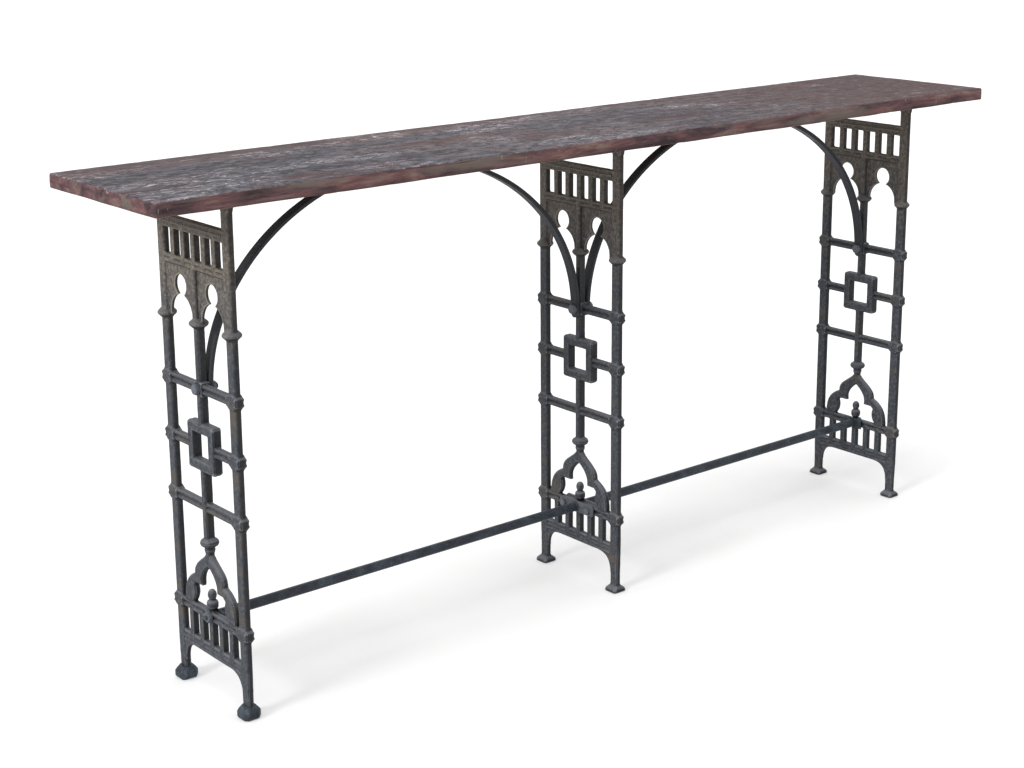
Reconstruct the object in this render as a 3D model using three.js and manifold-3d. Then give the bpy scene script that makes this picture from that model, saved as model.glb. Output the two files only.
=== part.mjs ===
// A long, narrow table on three identical cast-iron tracery frames.
// Millimetres, +Z up. X runs along the top, -Y is the front, and the origin is on the floor under the centre.
import * as THREE from "three";
import { mergeVertices } from "three/addons/utils/BufferGeometryUtils.js";
import Module from "manifold-3d";

// ---------------------------------------------------------------- driving dimensions
// Tabletop
const TOP_LENGTH = 1980;
const TOP_WIDTH = 350;
const TOP_THICK = 25;
const TOP_EDGE = 2; // worn chamfer round the slab
const TABLE_HEIGHT = 900;
const END_OVERHANG = 162; // from a frame's centre plane to the end of the slab

// Cast frame: posts, mullion and rails
const POST_SPACING = 206; // between the centres of the front and back posts
const POST_WIDE = 23;
const POST_DEEP = 12;
const POST_CHAMFER = 3;
const MULLION_WIDE = 14;
const MULLION_DEEP = 17;
const MULLION_CHAMFER = 2;
const RAIL_HIGH = 17;
const RAIL_DEEP = 13;
const HEAD_RAIL_HIGH = 20;
const ARCADE_RAIL_HIGH = 15;
const NODE_WIDE = 30;
const NODE_HIGH = 28;
const NODE_DEEP = 18;
const NODE_CUT = 6; // corner cut of the blocks where rails cross posts

// Heights that belong to the foot end, from the floor
const APRON_Z = 82;
const LOWER_RAIL_Z = 147;
const ARCH_RISE = 132; // from the lower rail to the collar on top of the arch
// Heights that belong to the head end, down from the underside of the slab
const HEAD_RAIL_DROP = 60;
const ARCADE_RAIL_DROP = 122;
const COLLAR_DROP = 218;
// The three open tiers share the height between the two collars
const TIER_SHARES = [0.1675, 0.4425, 0.7095];

const COLLAR_RADIUS = 16.5;
const COLLAR_HIGH = 11;
const MULLION_TAIL = 24; // the mullion below the arch's collar
const LATTICE_OUT = 83;
const LATTICE_BAR = 18;
const LATTICE_DEEP = 17;
const LATTICE_ROUND = 8;
const LATTICE_GRIP = 10; // how far the rail and mullion run into the lattice
const ARCADE_BARS = 5; // thin bars and the middle one, between the posts
const BAR_WIDE = 12;
const BAR_DEEP = 12;
const PANEL_DEEP = 5;
const LOBE_RADIUS = 18; // round eye of the keyhole opening in each panel
const SHOULDER = 8.5; // ledge between a post and the round arch under the eye
const ARCH_LIFT = 6; // from the collars to the centre of that arch
const LOBE_RISE = 49; // from the arch's centre to the eye's centre
const RIB_DEEP = 13;
// The cusped rib on the lower rail, as shares of half the opening across and of its rise up
const RIB_TOP = 0.83;
const RIB_APEX = 0.66; // the opening's point under the collar
const RIB_OUTSIDE = [
  [[0.21, 0.7], [0.54, 0.64], [0.515, 0.46]],
  [[0.79, 0.375], [0.91, 0.245], [0.9, 0]],
];
const RIB_INSIDE = [[0.5, 0.1], [0.5, 0.195], [0.545, 0.277]];
const RIB_CUSP = [[0.48, 0.318], [0.26, 0.318]];
const RIB_LOBE = [[0.31, 0.44], [0.21, 0.555]];
const RIB_CROWN = 0.075;
const RIB_HEEL = 0.63;
const FINIAL_HIGH = 41;
const FINIAL_FOOT = 6; // radius where it stands on the rail, inside the rail's depth
const APRON_HIGH = 20;
const APRON_CURVE = 36; // quarter curve between the apron and a leg
const APRON_THINNER = 2; // than the posts
const LEG_TOE = 19; // width of a leg just above its foot
const FOOT_SIDE = 31;
const FOOT_PLATE = 7;
const FOOT_FLARE = 7;
const FOOT_DRAFT = 3; // how much narrower the plate is at its top
const BLOCK_HIGH = 22; // the taller blocks under the left frame
const BLOCK_SIDE = 35;
const BLOCK_CHAMFER = 5;
const BLOCK_SLOPE = 7;

// Steel plates between posts and slab
const PLATE_LONG = 62;
const PLATE_WIDE = 32;
const PLATE_THICK = 5;
const PLATE_SCREW_PITCH = 42;
const POST_FLARE = 3.5; // how far a post's head widens under its plate
const POST_FLARE_HIGH = 14;
const POST_LIP = 4;
const SCREW_RADIUS = 2.5;
const SCREW_HEAD_RADIUS = 5;
const SCREW_HEAD_HIGH = 3;
const SCREW_BITE = 18; // length in the wood

// Braces of flat bar
const BRACE_WIDE = 20;
const BRACE_THICK = 8;
const BRACE_FLAT = 54; // straight end under the slab
const BRACE_TURN = THREE.MathUtils.degToRad(79.5);
const BRACE_TAIL = 4; // straight end below the start of the bend
const BRACE_START_DROP = 3; // start of the bend below the bolt
const BRACE_END_GAP = 24; // between two brace ends that face each other
const BOSS_SIDE = 24; // flat boss behind a brace
const BOSS_PROUD = 0.5; // of the mullion's face

// Stretcher rods
const ROD_RADIUS = 9;
const STUD_RADIUS = 4.5;
const ROD_WASHER = [4, 46, 22];
const ROD_FLANGE = [5, 96, 22];
const FLANGE_BOLT_PITCH = 70;

// Fasteners: half the width across the flats, and thickness
const BIG_HEX = 8.5;
const BIG_HEX_THICK = 7;
const SMALL_HEX = 6.5;
const SMALL_HEX_THICK = 5.5;
const BRACE_BOLT_RADIUS = 5;
const FLANGE_BOLT_RADIUS = 3.5;
const THREAD_OUT = 4; // thread that shows past a nut

const FIT = 0.3; // gap round every shank and stud
const ROUND = 10; // sides of turned shapes
const SHANK_SIDES = 8;

// ---------------------------------------------------------------- derived places
const UNDERSIDE_Z = TABLE_HEIGHT - TOP_THICK;
const FRAME_X = TOP_LENGTH / 2 - END_OVERHANG;
const POST_TOP_Z = UNDERSIDE_Z - PLATE_THICK;
const POST_Y = POST_SPACING / 2;
const OPEN_EDGE_Y = POST_Y - POST_WIDE / 2;
const HEAD_RAIL_Z = UNDERSIDE_Z - HEAD_RAIL_DROP;
const ARCADE_RAIL_Z = UNDERSIDE_Z - ARCADE_RAIL_DROP;
const COLLAR_Z = UNDERSIDE_Z - COLLAR_DROP;
const ARCH_COLLAR_Z = LOWER_RAIL_Z + ARCH_RISE;
const TIER_Z = TIER_SHARES.map((s) => ARCH_COLLAR_Z + s * (COLLAR_Z - ARCH_COLLAR_Z));
const [TIER_LOW_Z, LATTICE_Z, BRACE_BOLT_Z] = TIER_Z;
const BOSS_X = MULLION_DEEP / 2 + BOSS_PROUD;
const OVERLAP = 1; // how far joined shapes run into each other

// ---------------------------------------------------------------- materials
const iron = new THREE.MeshStandardMaterial({ color: 0x54514d, roughness: 0.72, metalness: 0.55 });
const darkSteel = new THREE.MeshStandardMaterial({ color: 0x33363d, roughness: 0.5, metalness: 0.7 });
const hardware = new THREE.MeshStandardMaterial({ color: 0x2f343d, roughness: 0.42, metalness: 0.8 });
const wood = new THREE.MeshStandardMaterial({ color: 0x63525a, roughness: 0.75, metalness: 0 });

// ---------------------------------------------------------------- solids from three.js shapes
const wasm = await Module();
wasm.setup();

// Shapes drawn as (across, up) and pushed along the third axis.
const ALONG_X = new THREE.Matrix4().makeBasis(
  new THREE.Vector3(0, 1, 0),
  new THREE.Vector3(0, 0, 1),
  new THREE.Vector3(1, 0, 0),
);
const ALONG_Y = new THREE.Matrix4().makeBasis(
  new THREE.Vector3(1, 0, 0),
  new THREE.Vector3(0, 0, 1),
  new THREE.Vector3(0, -1, 0),
);

function solid(geometry) {
  const plain = geometry.clone();
  plain.deleteAttribute("normal");
  plain.deleteAttribute("uv");
  const merged = mergeVertices(plain, 1e-4);
  return new wasm.Manifold(
    new wasm.Mesh({
      numProp: 3,
      vertProperties: merged.attributes.position.array,
      triVerts: new Uint32Array(merged.index.array),
    }),
  );
}

function join(pieces) {
  return pieces.reduce((all, piece) => all.add(piece));
}

function cut(body, tools) {
  return tools.reduce((left, tool) => left.subtract(tool), body);
}

function box(x, y, z, sizeX, sizeY, sizeZ) {
  return solid(new THREE.BoxGeometry(sizeX, sizeY, sizeZ).translate(x, y, z));
}

function shapeOf(points) {
  return new THREE.Shape(points.map(([a, b]) => new THREE.Vector2(a, b)));
}

// A (Y, Z) outline pushed along X, centred on x = 0.
function slabX(shape, deep, curveSegments = 10) {
  const g = new THREE.ExtrudeGeometry(shape, { depth: deep, bevelEnabled: false, curveSegments });
  return solid(g.translate(0, 0, -deep / 2).applyMatrix4(ALONG_X));
}

// An (X, Z) outline pushed along Y, between two places.
function slabY(shape, y0, y1) {
  const g = new THREE.ExtrudeGeometry(shape, { depth: y1 - y0, bevelEnabled: false });
  return solid(g.translate(0, 0, -y1).applyMatrix4(ALONG_Y));
}

// An (X, Y) outline pushed up from z0 to z1.
function slabZ(shape, z0, z1) {
  const g = new THREE.ExtrudeGeometry(shape, { depth: z1 - z0, bevelEnabled: false });
  return solid(g.translate(0, 0, z0));
}

// A rectangle with its corners cut off, centred on (a, b).
function cutRectangle(a, b, wide, high, corner) {
  const u = wide / 2;
  const v = high / 2;
  return shapeOf([
    [a - u + corner, b - v],
    [a + u - corner, b - v],
    [a + u, b - v + corner],
    [a + u, b + v - corner],
    [a + u - corner, b + v],
    [a - u + corner, b + v],
    [a - u, b + v - corner],
    [a - u, b - v + corner],
  ]);
}

// A profile of (radius, height) pairs from the top down, turned about a vertical line.
function turned(profile, y, z, sides = ROUND) {
  const points = profile.map(([r, h]) => new THREE.Vector2(r, h));
  const g = new THREE.LatheGeometry(points.reverse(), sides);
  return solid(g.rotateX(Math.PI / 2).translate(0, y, z));
}

// A round bar along X from x0 to x1.
function barX(radius, x0, x1, y, z, sides = SHANK_SIDES) {
  const g = new THREE.CylinderGeometry(radius, radius, x1 - x0, sides).rotateZ(Math.PI / 2);
  return solid(g.translate((x0 + x1) / 2, y, z));
}

function barZ(radius, z0, z1, x, y, sides = SHANK_SIDES) {
  const g = new THREE.CylinderGeometry(radius, radius, z1 - z0, sides).rotateX(Math.PI / 2);
  return solid(g.translate(x, y, (z0 + z1) / 2));
}

// A hexagonal head or nut along X, given half its width across the flats.
function hexX(halfFlats, x0, x1, y, z) {
  return barX(halfFlats / Math.cos(Math.PI / 6), x0, x1, y, z, 6);
}

const table = new THREE.Group();

function addMesh(name, body, material, x = 0) {
  const made = body.getMesh();
  const g = new THREE.BufferGeometry();
  g.setAttribute("position", new THREE.BufferAttribute(made.vertProperties, 3));
  g.setIndex(new THREE.BufferAttribute(made.triVerts, 1));
  g.computeVertexNormals();
  const mesh = new THREE.Mesh(g, material);
  mesh.name = name;
  mesh.position.x = x;
  table.add(mesh);
}

// ---------------------------------------------------------------- cast frame, centred on x = 0
function shaft(y, wide, deep, corner, z0, z1) {
  return slabZ(cutRectangle(0, y, deep, wide, corner), z0, z1);
}

function rail(z, high = RAIL_HIGH, deep = RAIL_DEEP) {
  return box(0, 0, z, deep, POST_SPACING, high);
}

function crossingBlock(y, z) {
  return slabX(cutRectangle(y, z, NODE_WIDE, NODE_HIGH, NODE_CUT), NODE_DEEP);
}

function collar(y, z) {
  const r = COLLAR_RADIUS;
  const h = COLLAR_HIGH / 2;
  const neck = r - h / 2;
  return turned([[0, h], [neck, h], [r, h / 3], [r, -h / 3], [neck, -h], [0, -h]], y, z);
}

// A row of upright bars between two rails; the middle one is the mullion.
function arcade(z0, z1) {
  const pitch = (2 * OPEN_EDGE_Y + BAR_WIDE) / (ARCADE_BARS + 1);
  const bars = [];
  for (let i = 1; i <= ARCADE_BARS; i += 1) {
    const y = -OPEN_EDGE_Y - BAR_WIDE / 2 + i * pitch;
    bars.push(box(0, y, (z0 + z1) / 2, BAR_DEEP, BAR_WIDE, z1 - z0));
  }
  return join(bars);
}

// The plate in each half of the head, with a keyhole opening down to the collars.
function panels() {
  const y0 = OPEN_EDGE_Y + OVERLAP;
  const high = ARCADE_RAIL_Z - COLLAR_Z;
  const deep = PANEL_DEEP * 2;
  const sheet = box(0, 0, COLLAR_Z + high / 2, PANEL_DEEP, 2 * y0, high);
  const middle = (OPEN_EDGE_Y + MULLION_WIDE / 2) / 2;
  const radius = OPEN_EDGE_Y - SHOULDER - middle;
  const archZ = COLLAR_Z + ARCH_LIFT;
  const openings = [-middle, middle].map((y) => {
    const eye = new THREE.Shape().absarc(y, archZ + LOBE_RISE, LOBE_RADIUS, 0, 2 * Math.PI);
    const arch = new THREE.Shape();
    arch.absarc(y, archZ, radius, 0, Math.PI);
    arch.lineTo(y - radius, COLLAR_Z - OVERLAP);
    arch.lineTo(y + radius, COLLAR_Z - OVERLAP);
    return slabX(eye, deep, 10).add(slabX(arch, deep, 12));
  });
  return cut(sheet, openings);
}

function lattice() {
  const half = LATTICE_OUT / 2;
  const r = LATTICE_ROUND;
  const ring = new THREE.Shape();
  ring.absarc(half - r, half - r, r, 0, Math.PI / 2);
  ring.absarc(-half + r, half - r, r, Math.PI / 2, Math.PI);
  ring.absarc(-half + r, -half + r, r, Math.PI, 1.5 * Math.PI);
  ring.absarc(half - r, -half + r, r, 1.5 * Math.PI, 2 * Math.PI);
  const inner = half - LATTICE_BAR;
  ring.holes.push(shapeOf([[-inner, -inner], [-inner, inner], [inner, inner], [inner, -inner]]));
  return slabX(ring, LATTICE_DEEP, 2).translate([0, 0, LATTICE_Z]);
}

// One side of the cusped arch on the lower rail, from the middle out to the posts.
function archRib(side) {
  const base = LOWER_RAIL_Z + RAIL_HIGH / 2 - OVERLAP;
  const rise = ARCH_COLLAR_Z - base;
  const at = ([across, up]) => [side * across * OPEN_EDGE_Y, base + up * rise];
  const past = -OVERLAP * side;
  const rib = new THREE.Shape();
  rib.moveTo(past, base + RIB_TOP * rise);
  rib.lineTo(...at([RIB_CROWN, RIB_TOP]));
  for (const curve of RIB_OUTSIDE) rib.bezierCurveTo(...curve.flatMap(at));
  rib.lineTo(...at([RIB_HEEL, 0]));
  rib.bezierCurveTo(...RIB_INSIDE.flatMap(at));
  for (const corner of RIB_CUSP) rib.lineTo(...at(corner));
  rib.bezierCurveTo(...RIB_LOBE.flatMap(at), past, base + RIB_APEX * rise);
  return slabX(rib, RIB_DEEP, 4);
}

function finial() {
  const base = LOWER_RAIL_Z + RAIL_HIGH / 2 - OVERLAP;
  const profile = [
    [0, FINIAL_HIGH],
    [4, FINIAL_HIGH - 1],
    [7, FINIAL_HIGH - 5],
    [7.8, FINIAL_HIGH - 10],
    [6, FINIAL_HIGH - 16],
    [9.6, FINIAL_HIGH - 21],
    [10, 9],
    [FINIAL_FOOT, 4],
    [FINIAL_FOOT, 0],
    [0, 0],
  ];
  return turned(profile, 0, base, 8);
}

// The apron between the legs, with a quarter curve into each leg.
function apron() {
  const outer = POST_Y + POST_WIDE / 2 - POST_CHAMFER;
  const inner = POST_Y - LEG_TOE / 2 - OVERLAP;
  const under = APRON_Z - APRON_HIGH / 2;
  const low = under - APRON_CURVE;
  const s = shapeOf([[-outer, APRON_Z], [outer, APRON_Z], [outer, low], [inner, low]]);
  s.quadraticCurveTo(inner, under, inner - APRON_CURVE, under);
  s.lineTo(-inner + APRON_CURVE, under);
  s.quadraticCurveTo(-inner, under, -inner, low);
  s.lineTo(-outer, low);
  return slabX(s, POST_DEEP - APRON_THINNER, 6);
}

// A leg narrows towards its foot.
function leg(side, bottom) {
  const y = side * POST_Y;
  const toe = LEG_TOE / 2;
  const out = POST_WIDE / 2;
  const outline = [[y - toe, bottom], [y + toe, bottom], [y + out, APRON_Z], [y - out, APRON_Z]];
  return slabX(shapeOf(outline), POST_DEEP);
}

// A square block whose side changes with height, from a list of its sides and heights.
function taperedBlock(y, sections) {
  const parts = [];
  for (let i = 1; i < sections.length; i += 1) {
    const [low, high] = [sections[i - 1], sections[i]];
    const [r0, r1] = [low.side / Math.SQRT2, high.side / Math.SQRT2];
    const g = new THREE.CylinderGeometry(r1, r0, high.z - low.z, 4);
    g.rotateX(Math.PI / 2).rotateZ(Math.PI / 4);
    parts.push(solid(g.translate(0, y, (low.z + high.z) / 2)));
  }
  return join(parts);
}

function plateFoot(side) {
  return taperedBlock(side * POST_Y, [
    { side: FOOT_SIDE, z: 0 },
    { side: FOOT_SIDE - FOOT_DRAFT, z: FOOT_PLATE },
    { side: POST_DEEP, z: FOOT_PLATE + FOOT_FLARE },
  ]);
}

// The widened head of a post, which carries its steel plate.
function postHead(side) {
  const w = POST_WIDE / 2;
  const wide = w + POST_FLARE;
  const y = side * POST_Y;
  const low = POST_TOP_Z - POST_FLARE_HIGH;
  const lip = POST_TOP_Z - POST_LIP;
  const head = [
    [y - w, low],
    [y + w, low],
    [y + wide, lip],
    [y + wide, POST_TOP_Z],
    [y - wide, POST_TOP_Z],
    [y - wide, lip],
  ];
  return slabX(shapeOf(head), POST_DEEP);
}

// rodHoles lists the places across the lower rail where a stud or bolt goes through.
function castFrame(legBottom, plateFeet, rodHoles) {
  const beams = [rail(LOWER_RAIL_Z), rail(TIER_LOW_Z), rail(LATTICE_Z), rail(BRACE_BOLT_Z)];
  const tracery = [
    rail(HEAD_RAIL_Z, HEAD_RAIL_HIGH),
    rail(ARCADE_RAIL_Z, ARCADE_RAIL_HIGH),
    rail(APRON_Z, APRON_HIGH),
    arcade(ARCADE_RAIL_Z, HEAD_RAIL_Z),
    arcade(APRON_Z, LOWER_RAIL_Z),
    panels(),
    archRib(-1),
    archRib(1),
    finial(),
    apron(),
  ];
  const uprights = [];
  for (const side of [-1, 1]) {
    const y = side * POST_Y;
    uprights.push(shaft(y, POST_WIDE, POST_DEEP, POST_CHAMFER, APRON_Z, POST_TOP_Z));
    uprights.push(leg(side, legBottom), postHead(side), collar(y, COLLAR_Z));
    for (const z of [LOWER_RAIL_Z, ...TIER_Z]) uprights.push(crossingBlock(y, z));
    if (plateFeet) uprights.push(plateFoot(side));
  }
  const mullion = [
    shaft(0, MULLION_WIDE, MULLION_DEEP, MULLION_CHAMFER, ARCH_COLLAR_Z - MULLION_TAIL, ARCADE_RAIL_Z),
    collar(0, COLLAR_Z),
    collar(0, ARCH_COLLAR_Z),
    box(0, 0, BRACE_BOLT_Z, 2 * BOSS_X, BOSS_SIDE, BOSS_SIDE),
  ];
  const open = LATTICE_OUT - 2 * LATTICE_GRIP;
  const window = box(0, 0, LATTICE_Z, NODE_DEEP * 2, open, open);
  const through = rodHoles.map(([y, radius]) => barX(radius, -NODE_DEEP, NODE_DEEP, y, LOWER_RAIL_Z));
  through.push(barX(BRACE_BOLT_RADIUS + FIT, -NODE_DEEP, NODE_DEEP, 0, BRACE_BOLT_Z));
  const bars = cut(join([...beams, ...tracery, ...mullion]), [window]);
  return cut(join([bars, lattice(), ...uprights]), through);
}

// ---------------------------------------------------------------- slab
function tabletop(screwPlaces) {
  const c = TOP_EDGE;
  const z0 = UNDERSIDE_Z;
  const z1 = TABLE_HEIGHT;
  const across = cutRectangle(0, (z0 + z1) / 2, TOP_LENGTH, TOP_THICK, c);
  const along = cutRectangle(0, (z0 + z1) / 2, TOP_WIDTH, TOP_THICK, c);
  const slab = slabY(across, -TOP_WIDTH / 2, TOP_WIDTH / 2).intersect(slabX(along, TOP_LENGTH));
  const holeTop = z0 + SCREW_BITE + FIT;
  const holes = screwPlaces.map(([x, y]) => barZ(SCREW_RADIUS + FIT, z0 - OVERLAP, holeTop, x, y, 6));
  return cut(slab, holes);
}

// ---------------------------------------------------------------- braces
const BRACE_X = BOSS_X + BRACE_THICK / 2; // centre of the bar beside the mullion
const BRACE_REACH = (FRAME_X - BRACE_END_GAP) / 2;
const BRACE_TOP_Z = UNDERSIDE_Z - BRACE_THICK / 2;
const BEND_START_Z = BRACE_BOLT_Z - BRACE_START_DROP;
const BRACE_SCREW_X = BRACE_REACH - BRACE_FLAT / 2;
const BEND_RUN = (BRACE_REACH - BRACE_FLAT - BRACE_X) / (1 - Math.cos(BRACE_TURN));
const BEND_RISE = (BRACE_TOP_Z - BEND_START_Z) / Math.sin(BRACE_TURN);
// The bar has already leaned out a little at the top of the nut or bolt head that clamps it.
const CLAMP_LEAN_TURN = Math.asin((BRACE_START_DROP + BIG_HEX / Math.cos(Math.PI / 6)) / BEND_RISE);
const CLAMP_X = BOSS_X + BRACE_THICK + BEND_RUN * (1 - Math.cos(CLAMP_LEAN_TURN)) + FIT;

// A quarter bend of flat bar from the mullion up and out under the slab, towards +X or -X.
function brace(direction) {
  const a = BEND_RUN;
  const b = BEND_RISE;
  const half = BRACE_THICK / 2;
  const steps = 18;
  const outside = [[BRACE_X - half, BEND_START_Z - BRACE_TAIL]];
  const inside = [[BRACE_X + half, BEND_START_Z - BRACE_TAIL]];
  for (let i = 0; i < steps; i += 1) {
    const t = (BRACE_TURN * i) / steps;
    const along = new THREE.Vector2(a * Math.sin(t), b * Math.cos(t)).normalize().multiplyScalar(half);
    const x = BRACE_X + a * (1 - Math.cos(t));
    const z = BEND_START_Z + b * Math.sin(t);
    outside.push([x - along.y, z + along.x]);
    inside.push([x + along.y, z - along.x]);
  }
  outside.push([BRACE_REACH - BRACE_FLAT, BRACE_TOP_Z + half], [BRACE_REACH, BRACE_TOP_Z + half]);
  inside.push([BRACE_REACH - BRACE_FLAT, BRACE_TOP_Z - half], [BRACE_REACH, BRACE_TOP_Z - half]);
  const outline = [...inside, ...outside.reverse()].map(([x, z]) => [x * direction, z]);
  const bar = slabY(shapeOf(outline), -BRACE_WIDE / 2, BRACE_WIDE / 2);
  const x0 = BRACE_X - half;
  const x1 = BRACE_X + half;
  const [low, high] = direction > 0 ? [x0, x1] : [-x1, -x0];
  const toe = barX(BRACE_WIDE / 2, low, high, 0, BEND_START_Z - BRACE_TAIL, ROUND);
  const [left, right] = [low - BRACE_THICK, high + BRACE_THICK];
  return cut(bar.add(toe), [
    barX(BRACE_BOLT_RADIUS + FIT, left, right, 0, BRACE_BOLT_Z),
    barZ(SCREW_RADIUS + FIT, BRACE_TOP_Z - BRACE_THICK, UNDERSIDE_Z + OVERLAP, direction * BRACE_SCREW_X, 0),
  ]);
}

// ---------------------------------------------------------------- fasteners and rods
// A pan head under headZ and a shank up into the slab.
function woodScrew(headZ) {
  const head = barZ(SCREW_HEAD_RADIUS, headZ - SCREW_HEAD_HIGH, headZ, 0, 0);
  return head.add(barZ(SCREW_RADIUS, headZ - OVERLAP, UNDERSIDE_Z + SCREW_BITE, 0, 0, 6));
}

// A bolt along +X: the head ends at x0, and a nut as thick as the head starts at x1.
function hexBolt(halfFlats, thick, radius, x0, x1, y, z) {
  const head = hexX(halfFlats, x0 - thick, x0, y, z);
  return head.add(barX(radius, x0 - OVERLAP, x1 + thick + THREAD_OUT, y, z));
}

function hexNut(halfFlats, thick, radius, x1, y, z) {
  const hole = barX(radius + FIT, x1 - OVERLAP, x1 + thick + OVERLAP, y, z);
  return hexX(halfFlats, x1, x1 + thick, y, z).subtract(hole);
}

// A rod from an end frame to the middle one: a stud at the outer end and a welded flange at the inner end.
function stretcherRod(side) {
  const outer = FRAME_X - RAIL_DEEP / 2;
  const [washerThick] = ROD_WASHER;
  const [flangeThick, flangeWide, flangeHigh] = ROD_FLANGE;
  const inner = RAIL_DEEP / 2;
  const z = LOWER_RAIL_Z;
  const studEnd = FRAME_X + RAIL_DEEP / 2 + BIG_HEX_THICK + THREAD_OUT;
  const bar = barX(ROD_RADIUS, inner + OVERLAP, outer - washerThick, 0, z, 16);
  const stud = barX(STUD_RADIUS, outer - washerThick - OVERLAP, studEnd, 0, z);
  const flange = box(inner + flangeThick / 2, 0, z, flangeThick, flangeWide, flangeHigh);
  const holeRadius = FLANGE_BOLT_RADIUS + FIT;
  const holeEnds = [inner - OVERLAP, inner + flangeThick + OVERLAP];
  const holes = [-1, 1].map((s) => barX(holeRadius, ...holeEnds, (s * FLANGE_BOLT_PITCH) / 2, z));
  const rod = cut(join([bar, stud, flange]), holes);
  return side > 0 ? rod : rod.mirror([1, 0, 0]);
}

function rodWasher(side) {
  const [thick, wide, high] = ROD_WASHER;
  const x = side * (FRAME_X - RAIL_DEEP / 2 - thick / 2);
  const hole = barX(STUD_RADIUS + FIT, x - thick, x + thick, 0, LOWER_RAIL_Z);
  return box(x, 0, LOWER_RAIL_Z, thick, wide, high).subtract(hole);
}

function topPlate(y) {
  const plate = box(0, y, UNDERSIDE_Z - PLATE_THICK / 2, PLATE_WIDE, PLATE_LONG, PLATE_THICK);
  const holeEnds = [POST_TOP_Z - OVERLAP, UNDERSIDE_Z + OVERLAP];
  const at = [-1, 1].map((s) => y + (s * PLATE_SCREW_PITCH) / 2);
  return cut(plate, at.map((place) => barZ(SCREW_RADIUS + FIT, ...holeEnds, 0, place)));
}

function footBlock() {
  return taperedBlock(0, [
    { side: BLOCK_SIDE - BLOCK_CHAMFER, z: 0 },
    { side: BLOCK_SIDE, z: BLOCK_CHAMFER },
    { side: BLOCK_SIDE, z: BLOCK_HIGH - BLOCK_SLOPE },
    { side: LEG_TOE + 2 * OVERLAP, z: BLOCK_HIGH },
  ]);
}

// ---------------------------------------------------------------- assembly
const FRAMES = [
  { name: "left", x: -FRAME_X, braces: [1] },
  { name: "middle", x: 0, braces: [-1, 1] },
  { name: "right", x: FRAME_X, braces: [-1] },
];
const studHole = [[0, STUD_RADIUS + FIT]];
const flangeHoles = [-1, 1].map((s) => [(s * FLANGE_BOLT_PITCH) / 2, FLANGE_BOLT_RADIUS + FIT]);
const screwPlaces = [];

for (const frame of FRAMES) {
  const isLeft = frame.name === "left";
  const holes = frame.name === "middle" ? flangeHoles : studHole;
  addMesh(
    "cast_frame_" + frame.name,
    castFrame(isLeft ? BLOCK_HIGH : FOOT_PLATE, !isLeft, holes),
    iron,
    frame.x,
  );
  for (const [end, side] of [["front", -1], ["back", 1]]) {
    const y = side * POST_Y;
    const place = frame.name + "_" + end;
    addMesh("top_plate_" + place, topPlate(y), darkSteel, frame.x);
    if (isLeft) addMesh("foot_block_" + place, footBlock().translate([0, y, 0]), darkSteel, frame.x);
    for (const [mark, s] of [["a", -1], ["b", 1]]) {
      const at = y + (s * PLATE_SCREW_PITCH) / 2;
      const screw = woodScrew(POST_TOP_Z).translate([0, at, 0]);
      addMesh("plate_screw_" + place + "_" + mark, screw, hardware, frame.x);
      screwPlaces.push([frame.x, at]);
    }
  }
  for (const direction of frame.braces) {
    const name = frame.name + "_" + (direction > 0 ? "rightward" : "leftward");
    const x = frame.x + direction * BRACE_SCREW_X;
    addMesh("brace_" + name, brace(direction), darkSteel, frame.x);
    addMesh("brace_screw_" + name, woodScrew(UNDERSIDE_Z - BRACE_THICK), hardware, x);
    screwPlaces.push([x, 0]);
  }
  // The brace bolt goes through the mullion and every bar beside it.
  const x0 = frame.braces.includes(-1) ? -CLAMP_X : -BOSS_X;
  const x1 = frame.braces.includes(1) ? CLAMP_X : BOSS_X;
  const bolt = hexBolt(BIG_HEX, BIG_HEX_THICK, BRACE_BOLT_RADIUS, x0, x1, 0, BRACE_BOLT_Z);
  addMesh("brace_bolt_" + frame.name, bolt, hardware, frame.x);
  const nut = hexNut(BIG_HEX, BIG_HEX_THICK, BRACE_BOLT_RADIUS, x1, 0, BRACE_BOLT_Z);
  addMesh("brace_nut_" + frame.name, nut, hardware, frame.x);
}
addMesh("tabletop", tabletop(screwPlaces), wood);

for (const [name, side] of [["left", -1], ["right", 1]]) {
  const face = FRAME_X + RAIL_DEEP / 2;
  const nut = hexNut(BIG_HEX, BIG_HEX_THICK, STUD_RADIUS, face, 0, LOWER_RAIL_Z);
  addMesh("stretcher_rod_" + name, stretcherRod(side), darkSteel);
  addMesh("rod_washer_" + name, rodWasher(side), darkSteel);
  addMesh("rod_nut_" + name, side > 0 ? nut : nut.mirror([1, 0, 0]), hardware);
}
for (const [end, side] of [["front", -1], ["back", 1]]) {
  const x = RAIL_DEEP / 2 + ROD_FLANGE[0];
  const y = (side * FLANGE_BOLT_PITCH) / 2;
  const bolt = hexBolt(SMALL_HEX, SMALL_HEX_THICK, FLANGE_BOLT_RADIUS, -x, x, y, LOWER_RAIL_Z);
  const nut = hexNut(SMALL_HEX, SMALL_HEX_THICK, FLANGE_BOLT_RADIUS, x, y, LOWER_RAIL_Z);
  addMesh("flange_bolt_" + end, bolt, hardware);
  addMesh("flange_nut_" + end, nut, hardware);
}

export default table;
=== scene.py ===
"""A long table on three cast-iron tracery frames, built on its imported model."""
import math

import bpy
import numpy as np
from mathutils import Matrix, Vector, noise


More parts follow.
